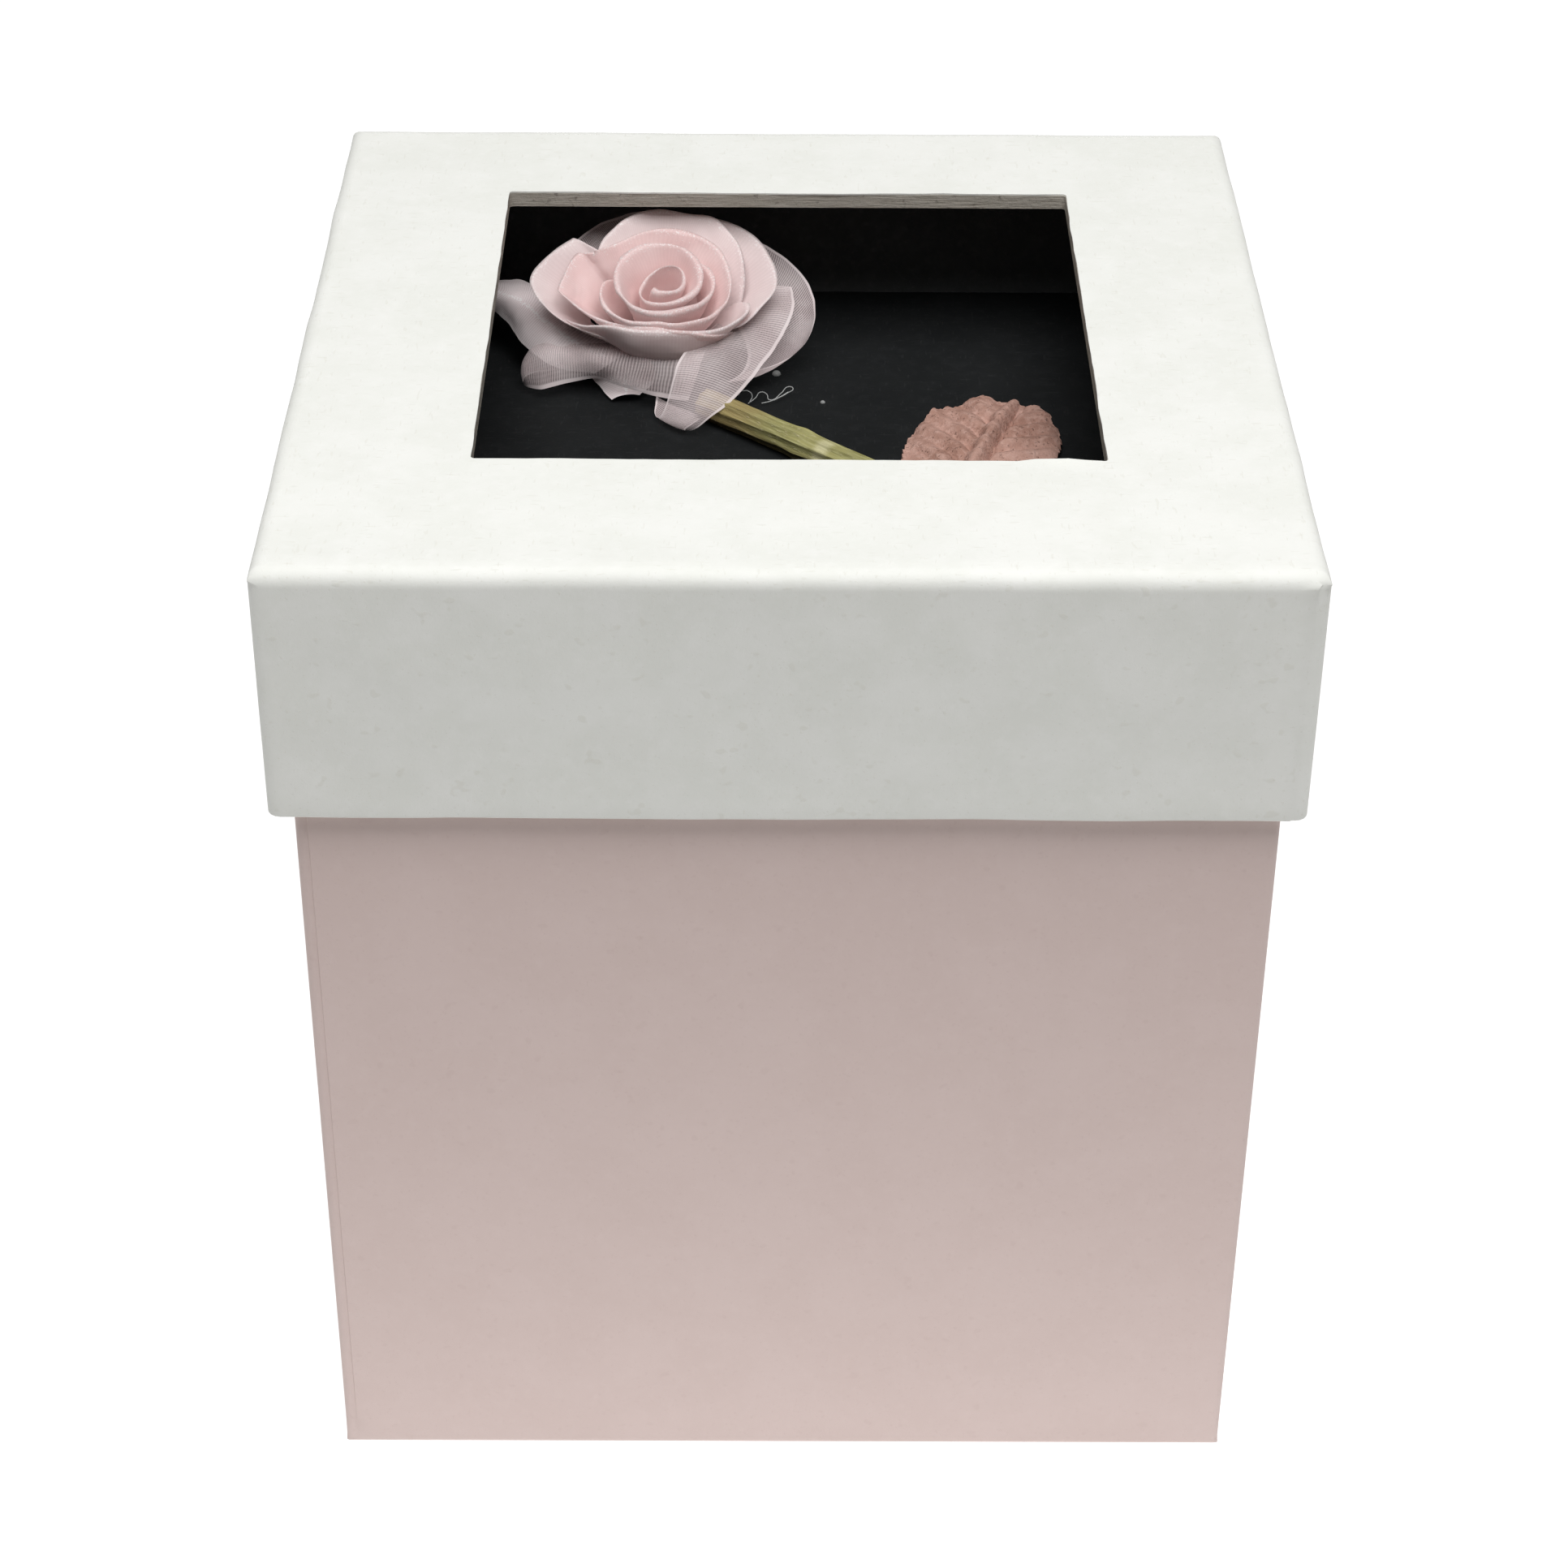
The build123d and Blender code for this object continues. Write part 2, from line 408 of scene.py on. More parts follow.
lidPlan = {
    "edgeRound": 1.6 * mm, "uprightRound": 1.3 * mm, "rimRound": 0.35 * mm,
    "paper": 0.2 * mm, "turnIn": 15 * mm, "seamFromCorner": 2.0 * mm, "seamStep": 0.16 * mm,
    "seamCut": 0.06 * mm, "seamSlide": 1.7 * mm, "seamRise": 3.2 * mm, "seamWide": 0.3 * mm,
    "ripple": 0.13 * mm, "puff": 0.22 * mm, "grid": 1.9 * mm, "cornerRadius": 0.45 * mm,
    "shavingX": 30.5 * mm, "shavingHalf": 4.5 * mm, "shavingLift": 0.45 * mm,
}


def windowBox():
    # the window's edges, read off the recess side of the cut through the top board
    boardMesh = frame["nodes"]["lid_top_board"].data
    inside = [v.co for v in boardMesh.vertices if max(abs(v.co.x), abs(v.co.y)) < lidHigh.x - 10 * mm]
    low = Vector([min(c[i] for c in inside) for i in range(3)])
    high = Vector([max(c[i] for c in inside) for i in range(3)])
    return low, high


windowLow, windowHigh = windowBox()


def lidWrapMesh():
    plan = lidPlan
    piece = newBox("lidWrap", lidLow, lidHigh)
    half = lidHigh.x
    windowHalf = (windowHigh.x - windowLow.x) / 2
    windowMiddle = (windowLow + windowHigh) / 2
    editPiece(piece)
    pick(piece, "faces", lambda c, f: c.z < lidLow.z + 1 * mm)
    bpy.ops.mesh.delete(type="FACE")
    pick(piece, "faces", lambda c, f: f.normal.z > 0.9)
    bpy.ops.mesh.inset(thickness=half - windowHalf, depth=0)
    middle = Vector((0, 0, lidHigh.z))
    squarer = (windowHigh.y - windowLow.y) / (windowHigh.x - windowLow.x)
    bpy.ops.transform.resize(value=(1, squarer, 1), center_override=middle)
    bpy.ops.transform.translate(value=(0, windowMiddle.y, 0))
    bpy.ops.mesh.select_mode(type="VERT")
    bpy.ops.mesh.bevel(offset=plan["cornerRadius"], offset_type="OFFSET", segments=5, affect="VERTICES")
    onWindow = lambda c, f: f.normal.z > 0.9 and windowLow.x < c.x < windowHigh.x and abs(c.y) < 5 * mm
    pick(piece, "faces", onWindow)
    bpy.ops.mesh.delete(type="FACE")
    # round the wrapped edges
    atTop = lambda c, e: c.z > lidHigh.z - mm / 10 and max(abs(c.x), abs(c.y)) > half - mm / 10
    pick(piece, "edges", atTop)
    bpy.ops.mesh.bevel(offset=plan["edgeRound"], segments=4, affect="EDGES")
    upright = lambda c, e: abs(e.verts[0].co.z - e.verts[1].co.z) > 20 * mm
    pick(piece, "edges", upright)
    bpy.ops.mesh.bevel(offset=plan["uprightRound"], segments=4, affect="EDGES")
    # turn the paper in under the skirt's lower edge and up inside it
    turned(piece, lidLow.z, half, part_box("lid_inner_liner")[1].x, plan["turnIn"])
    return piece


def turned(piece, level, outside, inside, rise):
    # folds the open edge at this level inwards and along the inner face by rise
    pick(piece, "edges", lambda c, e: abs(c.z - level) < mm / 100 and e.is_boundary)
    bpy.ops.mesh.extrude_edges_move()
    factor = inside / outside
    bpy.ops.transform.resize(value=(factor, factor, 1), center_override=(0, 0, level))
    bpy.ops.mesh.extrude_edges_move(TRANSFORM_OT_translate={"value": (0, 0, rise)})
    onFold = lambda c, e: abs(c.z - level) < mm / 100 and abs(e.verts[0].co.z - e.verts[1].co.z) < mm / 100
    cornerWays = lambda c, e: onFold(c, e) and not acrossRim(e)
    pick(piece, "edges", cornerWays)
    bpy.ops.mesh.bevel(offset=lidPlan["rimRound"], segments=3, affect="EDGES")


def acrossRim(edge):
    # an edge that runs from the outer face to the inner one, across a rim
    a, b = (max(abs(v.co.x), abs(v.co.y)) for v in edge.verts)
    return abs(a - b) > mm


def seamShift(co, seamX, side, plan, top):
    # the front panel stops short of the corner and lies over the tab behind it
    past = side * (co.x - seamX)
    climb = max(0.0, 1 - (top - co.z) / plan["seamRise"])
    inward = plan["seamStep"] if past > 0 else 0.0
    slide = side * plan["seamSlide"] * climb ** 2 if abs(past) < plan["seamWide"] else 0.0
    return Vector((slide, inward, 0))


def lidWrap():
    plan = lidPlan
    piece = lidWrapMesh()
    half = lidHigh.x
    seamX = half - plan["seamFromCorner"]
    for axis in (0, 1):
        sliceEvery(axis, lidLow[axis], lidHigh[axis], plan["grid"])
    sliceEvery(2, lidLow.z, lidHigh.z, plan["grid"])
    cutBesideSeam(seamX, plan["seamCut"])
    leaveEdit()

    def ripple(co):
        outward = max(abs(co.x), abs(co.y))
        move = Vector()
        onTop = co.z > lidHigh.z - plan["edgeRound"]
        fromEdge = half - outward
        if onTop:
            rolled = exp(-((fromEdge - 2.2 * mm) / (2.6 * mm)) ** 2)
            lump = 0.45 + 0.55 * wave(co, 9 * mm, 3.1)
            move.z = plan["puff"] * rolled * lump + 0.45 * plan["ripple"] * wave(co, 24 * mm, 7.7)
            onEdge = (co.x < windowLow.x + mm / 2 or co.x > windowHigh.x - mm / 2
                      or co.y < windowLow.y + mm / 2 or co.y > windowHigh.y - mm / 2)
            byWindow = (onEdge and windowLow.x - mm / 2 < co.x < windowHigh.x + mm / 2
                        and windowLow.y - mm / 2 < co.y < windowHigh.y + mm / 2)
            if byWindow:
                move.x += 0.12 * mm * wave(co, 3.1 * mm, 1.3) + 0.1 * mm * wave(co, 11 * mm, 4.9)
                move.y += 0.12 * mm * wave(co, 3.3 * mm, 8.2) + 0.12 * mm * wave(co, 12 * mm, 2.4)
                move.z += 0.05 * mm * wave(co, 4 * mm, 5.5)
                if co.y < windowLow.y + mm / 2:
                    fromShaving = (co.x - plan["shavingX"]) / plan["shavingHalf"]
                    lifted = max(0.0, 1 - fromShaving ** 2)
                    move.z += plan["shavingLift"] * lifted * (0.6 + wave(co, 1.6 * mm, 6.4))
                    move.y += plan["shavingLift"] * lifted * (0.5 + wave(co, 1.2 * mm, 2.9))
        if outward > half - plan["edgeRound"] and not (onTop and fromEdge > plan["edgeRound"] / 2):
            swell = plan["ripple"] * wave(co, 17 * mm, 11.3) + 0.1 * mm * wave(co, 6 * mm, 6.1)
            across = 1 if abs(co.x) > abs(co.y) else 0
            sign = 1 if co[1 - across] > 0 else -1
            flat = 1 - exp(-((half - abs(co[across])) / (3 * mm)) ** 2)
            move[1 - across] += sign * swell * flat
        if co.z < lidLow.z + 0.5 * mm:
            move.z += 0.13 * mm * wave(co, 15 * mm, 9.4) - 0.05 * mm
        if co.y < -half + mm and co.z < lidHigh.z - plan["edgeRound"] / 2:
            move += seamShift(co, seamX, 1, plan, lidHigh.z)
        return move

    nudge(piece, ripple)
    applyModifier(piece, "SOLIDIFY", thickness=plan["paper"], offset=-1)
    smooth(piece, 50)
    finishPiece(piece, ivory, "lid", ["lid_wrap"])


lidWrap()
print("lid wrapped")


# base wrapping paper

basePlan = {
    "cornerRound": 1.0 * mm, "footRound": 1.1 * mm, "paper": 0.2 * mm, "turnIn": 15 * mm,
    "flap": 15 * mm, "ripple": 0.14 * mm, "grid": 3.6 * mm, "seamFromCorner": 1.5 * mm, "seamStep": 0.15 * mm,
    "seamCut": 0.06 * mm, "seamSlide": 1.7 * mm, "seamRise": 3.2 * mm, "seamWide": 0.3 * mm,
}


def baseWrap():
    plan = basePlan
    piece = newBox("baseWrap", baseLow, baseHigh)
    half = baseHigh.x
    editPiece(piece)
    pick(piece, "faces", lambda c, f: f.normal.z > 0.9)
    bpy.ops.mesh.delete(type="FACE")
    pick(piece, "faces", lambda c, f: f.normal.z < -0.9)
    bpy.ops.mesh.inset(thickness=plan["flap"], depth=0)
    bpy.ops.mesh.delete(type="FACE")
    atFoot = lambda c, e: c.z < baseLow.z + mm / 10 and max(abs(c.x), abs(c.y)) > half - mm / 10
    pick(piece, "edges", atFoot)
    bpy.ops.mesh.bevel(offset=plan["footRound"], segments=4, affect="EDGES")
    upright = lambda c, e: abs(e.verts[0].co.z - e.verts[1].co.z) > 60 * mm
    pick(piece, "edges", upright)
    bpy.ops.mesh.bevel(offset=plan["cornerRound"], segments=4, affect="EDGES")
    turned(piece, baseHigh.z, half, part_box("base_floor_lining")[1].x, -plan["turnIn"])
    for axis in (0, 1):
        sliceEvery(axis, baseLow[axis], baseHigh[axis], plan["grid"])
    sliceEvery(2, baseLow.z, baseHigh.z, plan["grid"])
    seamX = -half + plan["seamFromCorner"]
    cutBesideSeam(seamX, plan["seamCut"])
    leaveEdit()

    def ripple(co):
        outward = max(abs(co.x), abs(co.y))
        move = Vector()
        if outward > half - mm / 5 and baseLow.z + mm < co.z:
            across = 1 if abs(co.x) > abs(co.y) else 0
            sign = 1 if co[1 - across] > 0 else -1
            flat = 1 - exp(-((half - abs(co[across])) / (4 * mm)) ** 2)
            swell = plan["ripple"] * wave(co, 30 * mm, 2.3) + 0.05 * mm * wave(co, 8 * mm, 6.6)
            move[1 - across] += sign * (swell - 0.02 * mm) * flat
        if co.y < -half + mm and co.z > baseLow.z + plan["footRound"]:
            move += seamShift(co, seamX, -1, plan, baseHigh.z + 1)
        return move

    nudge(piece, ripple)
    applyModifier(piece, "SOLIDIFY", thickness=plan["paper"], offset=-1)
    smooth(piece, 50)
    finishPiece(piece, pink, "base", ["base_wrap"])


baseWrap()
print("base wrapped")


# organza ribbon: fine cross ribs, woven edges and small glints, most of them along a fold; the glints are
# painted highlights in the base colour, and glossier spots too

def organzaFinish(name, plan):
    finish = Finish(name, Specular_IOR_Level=0.45, Sheen_Weight=0.3, Sheen_Roughness=0.45)
    finish.shader.inputs["Sheen Tint"].default_value = (1, 0.94, 0.94, 1)
    place = finish.place()
    along, across = finish.parts(finish.cloth())[:2]
    wander = finish.cloud(place, 260, 2)
    ribs = (along * (2 * pi / plan["rib"]) + wander * 6).sine() * 0.5 + 0.5
    threads = (across * (2 * pi / plan["thread"]) + wander * 3).sine() * 0.5 + 0.5
    fromMiddle = (across / plan["width"] - 0.5).size()
    edge = finish.step(fromMiddle, 0.5 - 0.6 * mm / plan["width"], 0.5 - 0.3 * mm / plan["width"])
    fold = 1 - finish.step(fromMiddle, 0.0, plan["foldReach"])
    patch = finish.step(finish.cloud(place, 190, 3), 0.35, 0.7)
    sparkle = finish.cloud(place, 4200, 2)
    # painted highlight: the glints whiten the base colour below, and also lower the roughness and add opacity
    paintedGlint = finish.step(sparkle + fold * plan["foldGlint"], 0.70, 0.78)
    tone = finish.mix(patch, plan["shade"], plan["colour"])
    tone = finish.mix(ribs * plan["ribTone"], tone, plan["deep"])
    tone = finish.mix(paintedGlint * 0.85 + edge * 0.25, tone, (1.0, 0.965, 0.96))
    weave = plan["cover"] - plan["open"] * ribs - 0.12 * plan["open"] * threads + 0.08 * patch
    solid = finish.node("Math", {"operation": "MAXIMUM", "use_clamp": True}, [weave, edge * plan["edge"]])
    finish.feed("Base Color", tone)
    finish.feed("Alpha", finish.node("Math", {"operation": "ADD", "use_clamp": True}, [solid, paintedGlint * 0.2]))
    finish.feed("Roughness", 0.5 - 0.28 * paintedGlint + 0.08 * wander)
    height = ribs * 0.5 + threads * 0.25 + edge * 0.6 + paintedGlint
    finish.feed("Normal", finish.bump(height, plan["relief"], 0.00006))
    if plan.get("through"):
        # light passes through the doubled cloth
        glow = finish.node("BsdfTranslucent", sockets={"Color": plan["throughColour"]})
        surface = Wire(finish, finish.shader.outputs["BSDF"])
        both = finish.node("MixShader", sockets=[plan["through"], surface, glow])
        finish.tree.links.new(both.socket, finish.tree.nodes["Material Output"].inputs["Surface"])
    return finish.material


softRibbon = {"width": 20 * mm, "step": 0.34 * mm, "across": 56, "pressed": 0.55}
looseRibbon = {"width": 10 * mm, "step": 0.35 * mm, "across": 28}

softLook = {
    "colour": (0.95, 0.83, 0.82), "shade": (0.92, 0.78, 0.775), "deep": (0.86, 0.68, 0.675),
    "rib": 0.34 * mm, "thread": 0.45 * mm, "ribTone": 0.09, "cover": 0.86, "open": 0.04, "edge": 0.8,
    "foldReach": 0.09, "foldGlint": 0.17, "relief": 0.05, "width": softRibbon["width"],
    "through": 0.26, "throughColour": (1.0, 0.93, 0.925),
}
softPink = organzaFinish("pinkOrganza", softLook)
# painted shade: a deeper, more saturated pink copy of the organza for the bud and inner row, standing for the
# shade and bounced pink light deep in the rose
heartShadedPink = organzaFinish("heartOrganzaPaintedShade", {
    **softLook, "through": 0.3,
    "colour": (0.98, 0.79, 0.775), "shade": (0.96, 0.73, 0.715), "deep": (0.91, 0.63, 0.62),
})
sheerLook = {
    "colour": (0.96, 0.84, 0.84), "shade": (0.93, 0.78, 0.785), "deep": (0.80, 0.65, 0.66),
    "rib": 0.34 * mm, "thread": 0.5 * mm, "ribTone": 0.22, "cover": 0.55, "open": 0.30, "edge": 0.72,
    "foldReach": 0.1, "foldGlint": 0.02, "relief": 0.2, "width": looseRibbon["width"],
}
sheerPink = organzaFinish("sheerOrganza", sheerLook)
# a denser, doubled copy of the sheer organza; its paler colour and stronger glints are painted light, so
# loops under the window border's shade still look lit
doubledLitPink = organzaFinish("doubledOrganzaPaintedLight", {
    **sheerLook, "colour": (0.99, 0.90, 0.90), "shade": (0.97, 0.85, 0.855), "cover": 0.95, "open": 0.14,
    "edge": 0.95, "foldGlint": 0.26,
})

roseShape = {
    "leanForward": 22, "leanAside": 4, "footLift": 1.5 * mm,
    "heartReach": 9 * mm, "heartBack": 1.7 * mm, "heartUp": 0.9 * mm, "frontLift": 0.9 * mm,
}
roseLean = (Matrix.Rotation(radians(roseShape["leanForward"]), 4, "X")
            @ Matrix.Rotation(radians(roseShape["leanAside"]), 4, "Y"))
gluePadMiddle = (gluePadLow + gluePadHigh) / 2
roseFoot = Vector((gluePadMiddle.x, gluePadMiddle.y, floorTop + roseShape["footLift"]))
rosePlace = Matrix.Translation(roseFoot) @ roseLean


def flatRibbon(name, long, ribbon):
    # a length of ribbon, flat, with its own measure along and across as its UV map
    deselectAll()
    steps = max(12, round(long / ribbon["step"]))
    bpy.ops.mesh.primitive_grid_add(x_subdivisions=steps, y_subdivisions=ribbon["across"], size=1)
    piece = bpy.context.object
    piece.name = name
    for loop in piece.data.uv_layers[0].data:
        loop.uv = (loop.uv[0] * long, loop.uv[1] * ribbon["width"])
    return piece


def bendRibbon(piece, route):
    # moves every point of the flat ribbon to its place: route(u, v) with u along and v across, 0 to 1
    for v in piece.data.vertices:
        v.co = route(v.co.x + 0.5, v.co.y + 0.5)


def ribbonLength(piece, ribbon):
    # the mean length of the ribbon's long threads, as they now lie
    total = 0.0
    for edge in piece.data.edges:
        a, b = (piece.data.vertices[i] for i in edge.vertices)
        if abs(a.index - b.index) == 1:
            total += (a.co - b.co).length
    return total / (ribbon["across"] + 1)


def blendOf(first, last, t):
    return first + (last - first) * t


def splineAt(stations, t):
    # a smooth run through the stations, each a Vector, with t from 0 to 1
    last = len(stations) - 1
    place = min(max(t, 0), 1) * last
    i = min(int(place), last - 1)
    t = place - i
    p0, p1, p2, p3 = (stations[min(max(k, 0), last)] for k in (i - 1, i, i + 1, i + 2))
    return 0.5 * (2 * p1 + (p2 - p0) * t + (2 * p0 - 5 * p1 + 4 * p2 - p3) * t ** 2
                  + (3 * p1 - p0 - 3 * p2 + p3) * t ** 3)


def finishRibbon(piece, material, nodes, flat):
    workOn(piece)
    bpy.ops.object.shade_smooth()
    finishPiece(piece, material, "lid", nodes)
    print(piece.name, "ribbon", round(flat[0] / mm), "by", round(flat[1] / mm), "mm")


def crumpled(place, amount, seed):
    return Vector((
        amount * (wave(place, 4.2 * mm, seed) + 0.5 * wave(place, 1.9 * mm, seed + 3)),
        amount * (wave(place, 4.2 * mm, seed + 9) + 0.5 * wave(place, 1.9 * mm, seed + 5)),
        0.6 * amount * wave(place, 3.4 * mm, seed + 17),
    ))


def foldedRow(name, node, plan):
    # ribbon folded in half along its length, fold up, and wound about the rose's axis;
    # a station is (turn, radius, height, lean, puff) of the fold, in degrees and mm
    stations = []
    for turn, radius, height, lean, puff in plan["stations"]:
        stations.append((Vector((turn, radius, height)), Vector((lean, puff, 0))))
    places = [a for a, b in stations]
    shapes = [b for a, b in stations]
    run = 0.0
    for first, last in zip(places, places[1:]):
        run += radians(last.x - first.x) * (first.y + last.y) / 2 * mm
    piece = flatRibbon(name, run, softRibbon)
    foldLong = softRibbon["width"] / 2

    def route(u, v):
        turn, radius, height = splineAt(places, u)
        leanTop, puff = splineAt(shapes, u).xy
        puff *= softRibbon["pressed"]
        angle = radians(turn)
        radius *= mm
        side = -1 if v < 0.5 else 1
        down = abs(v - 0.5) * 2  # 0 at the fold, 1 at the woven edges
        x = radius
        z = height * mm
        pieces = 10
        for i in range(pieces):
            share = (i + 0.5) / pieces
            if i / pieces > down:
                break
            lean = radians(blendOf(leanTop, plan["leanFoot"], share ** 0.9))
            stretch = min(1 / pieces, down - i / pieces) * foldLong
            x -= sin(lean) * stretch
            z -= cos(lean) * stretch
        lean = radians(blendOf(leanTop, plan["leanFoot"], down ** 0.9))
        roll = min(1, down * foldLong / (1.6 * puff * mm))
        swell = puff * mm * sqrt(max(0.0, 1 - (1 - roll) ** 2)) * (1 - 0.75 * down)
        x += side * cos(lean) * swell
        z -= side * sin(lean) * swell
        x = max(x, 0.12 * mm)
        place = Vector((x * cos(angle), x * sin(angle), z))
        # the heart of the bud is pressed into a slot
        slot = plan.get("slot", 0) * exp(-(x / (3.6 * mm)) ** 2)
        heading = radians(plan.get("slotTurn", 50))
        longWay = Vector((cos(heading), sin(heading), 0))
        sideWay = Vector((-sin(heading), cos(heading), 0))
        place += longWay * place.dot(longWay) * slot * 0.5 - sideWay * place.dot(sideWay) * slot
        # the heart sits back and high, and the front folds are pushed up against it
        heart = exp(-(x / roseShape["heartReach"]) ** 2)
        place.y += roseShape["heartBack"] * heart
        place.z += roseShape["heartUp"] * heart
        place.z += roseShape["frontLift"] * max(0, -sin(angle)) * (1 - 0.6 * down)
        seed = plan["seed"] + (0.4 if side < 0 else 0)
        place += crumpled(place, plan["crumple"] * mm * (0.5 + 0.5 * down), seed)
        place = rosePlace @ place
        place.z = max(place.z, floorTop + 0.25 * mm)
        return place

    bendRibbon(piece, route)
    long = ribbonLength(piece, softRibbon)
    # the heart rows take the deeper pink copy, painted shade
    finish = heartShadedPink if plan.get("heart") else softPink
    finishRibbon(piece, finish, [node], (softRibbon["width"], round(long, 3)))


rosePlans = {
    "roseBud": ("rose_bud", {
        "heart": True, "leanFoot": 16, "crumple": 0.52, "seed": 1.7,
        "slot": 0.42, "slotTurn": 52,
        "stations": (
        (-190, 0.5, 11.4, -14, 0.6), (-120, 1.5, 12.3, -8, 0.6), (-40, 2.9, 12.7, 4, 0.5),
        (30, 3.2, 13.0, 10, 0.45), (100, 2.9, 12.9, 10, 0.35), (165, 2.8, 12.4, 8, 0.35),
        (230, 3.3, 12.2, 8, 0.35), (300, 4.1, 12.5, 16, 0.45), (360, 5.1, 13.1, 34, 0.6),
        (425, 6.4, 13.8, 44, 0.7), (490, 6.5, 13.9, 46, 0.7), (550, 6.1, 13.5, 36, 0.7),
        (610, 5.2, 12.6, 12, 0.6), (660, 5.0, 12.3, 4, 0.65), (705, 6.1, 12.4, 14, 0.55),
        (750, 7.4, 12.4, 26, 0.4), (785, 7.8, 10.4, 26, 0.4)
    )}),
    "roseInnerRow": ("rose_inner_row", {
        "heart": True, "leanFoot": 42, "crumple": 0.52, "seed": 3.3, "stations": (
        (140, 6.8, 9.0, 28, 0.3), (170, 7.6, 11.8, 28, 0.35), (200, 7.9, 12.2, 22, 0.4),
        (225, 7.2, 11.9, 10, 0.4), (250, 6.1, 11.6, -6, 0.45), (275, 5.7, 11.5, -10, 0.45),
        (315, 6.5, 11.5, -4, 0.45), (350, 8.3, 12.0, 22, 0.45), (385, 9.6, 12.6, 38, 0.4),
        (415, 10.9, 12.9, 46, 0.35), (450, 10.9, 12.9, 50, 0.35), (482, 10.0, 12.5, 48, 0.3),
        (499, 11.3, 12.0, 52, 0.2), (504, 12.7, 11.7, 56, 0.12), (508, 13.0, 11.6, 56, 0.15),
        (520, 12.9, 11.5, 56, 0.2), (533, 13.2, 11.3, 56, 0.12), (537, 12.9, 11.3, 52, 0.15),
        (545, 11.4, 11.3, 44, 0.2), (560, 9.5, 11.1, 28, 0.3), (585, 7.4, 11.0, -4, 0.4),
        (620, 6.2, 11.1, -16, 0.4), (655, 6.8, 11.0, -12, 0.4), (690, 8.9, 9.8, 14, 0.3),
        (715, 9.8, 7.0, 14, 0.3)
    )}),
    "rosePetalBack": ("rose_petal_back", {"leanFoot": 48, "crumple": 0.3, "seed": 4.1, "stations": (
        (10, 10.0, 6.5, 48, 0.4), (38, 13.4, 11.0, 58, 0.35), (56, 15.2, 11.8, 64, 0.3),
        (66.8, 15.8, 12.0, 66, 0.3), (78, 15.3, 12.0, 66, 0.3), (93, 15.4, 12.0, 67, 0.3),
        (106, 14.6, 12.0, 65, 0.3), (119, 13.3, 11.8, 62, 0.3), (134, 11.6, 11.4, 54, 0.3),
        (152, 9.6, 8.4, 42, 0.3)
    )}),
    "rosePetalLeft": ("rose_petal_left", {"leanFoot": 46, "crumple": 0.3, "seed": 5.2, "stations": (
        (118, 10.8, 7.0, 50, 0.3), (129, 13.2, 9.3, 58, 0.25), (134, 15.8, 10.1, 62, 0.12),
        (138, 16.2, 10.1, 64, 0.15), (154, 16.9, 9.9, 65, 0.25), (165, 17.2, 9.8, 66, 0.2),
        (173, 16.1, 9.6, 64, 0.25), (185, 13.8, 9.5, 56, 0.3), (200, 11.0, 9.3, 42, 0.3),
        (212, 8.8, 8.4, 34, 0.3), (222, 7.2, 6.8, 28, 0.3)
    )}),
    "rosePetalRight": ("rose_petal_right", {"leanFoot": 46, "crumple": 0.25, "seed": 7.8, "stations": (
        (-38, 7.2, 5.5, 18, 0.3), (-20, 9.0, 8.9, 34, 0.3), (-8, 10.9, 9.4, 48, 0.3),
        (6, 13.0, 9.9, 58, 0.3), (20, 15.8, 10.0, 64, 0.3), (36, 17.2, 10.2, 66, 0.3),
        (52, 17.8, 10.4, 67, 0.3), (66, 17.0, 10.7, 67, 0.25), (76, 15.4, 10.9, 64, 0.15),
        (79, 14.4, 10.8, 62, 0.15), (88, 12.0, 8.6, 54, 0.3)
    )}),
    "rosePetalFront": ("rose_petal_front", {"leanFoot": 75, "crumple": 0.28, "seed": 6.4, "stations": (
        (166, 12.4, 5.4, 40, 0.3), (184, 12.2, 8.2, 36, 0.3), (200, 10.9, 9.9, 24, 0.35),
        (218, 8.2, 10.7, -8, 0.4), (242, 7.0, 10.9, -26, 0.4), (270, 6.3, 11.0, -36, 0.45),
        (298, 6.8, 10.9, -30, 0.45), (322, 8.1, 10.7, -12, 0.5), (343, 9.8, 10.7, 12, 0.6),
        (356, 11.2, 10.9, 30, 0.65), (365, 11.2, 10.6, 40, 0.6), (372, 10.0, 9.0, 40, 0.5),
        (380, 8.6, 6.0, 34, 0.4)
    )}),
}
for rowName, (rowNode, rowPlan) in rosePlans.items():
    foldedRow(rowName, rowNode, rowPlan)
print("rose wound")


# the rose's outer loops: single ribbon, laid along its two woven edges;
# a station is (one edge, the bend between, other edge) in mm, with z above the recess floor;
# in a crested loop the middle one is the crest, a place on the ribbon half way between its edges

def looseLoop(name, nodes, plan):
    edgeA = [Vector(a) * mm for a, bend, b in plan["stations"]]
    bends = [Vector(bend) * mm for a, bend, b in plan["stations"]]
    edgeB = [Vector(b) * mm for a, bend, b in plan["stations"]]
    if plan.get("crested"):
        bends = [crest * 2 - (a + b) / 2 for a, crest, b in zip(edgeA, bends, edgeB)]
    rough = sum((edgeA[i + 1] - edgeA[i]).length for i in range(len(edgeA) - 1))
    piece = flatRibbon(name, rough, looseRibbon)

    def route(u, v):
        a, bend, b = (splineAt(line, u) for line in (edgeA, bends, edgeB))
        place = a * (1 - v) ** 2 + bend * 2 * v * (1 - v) + b * v ** 2
        place += crumpled(place, plan["crumple"] * mm, plan["seed"])
        place.z = max(place.z, 0.15 * mm)
        return place + Vector((0, 0, floorTop))

    bendRibbon(piece, route)
    long = ribbonLength(piece, looseRibbon)
    # dense loops take the doubled copy, with painted light
    finish = doubledLitPink if plan.get("dense") else sheerPink
    finishRibbon(piece, finish, nodes, (looseRibbon["width"], round(long, 3)))


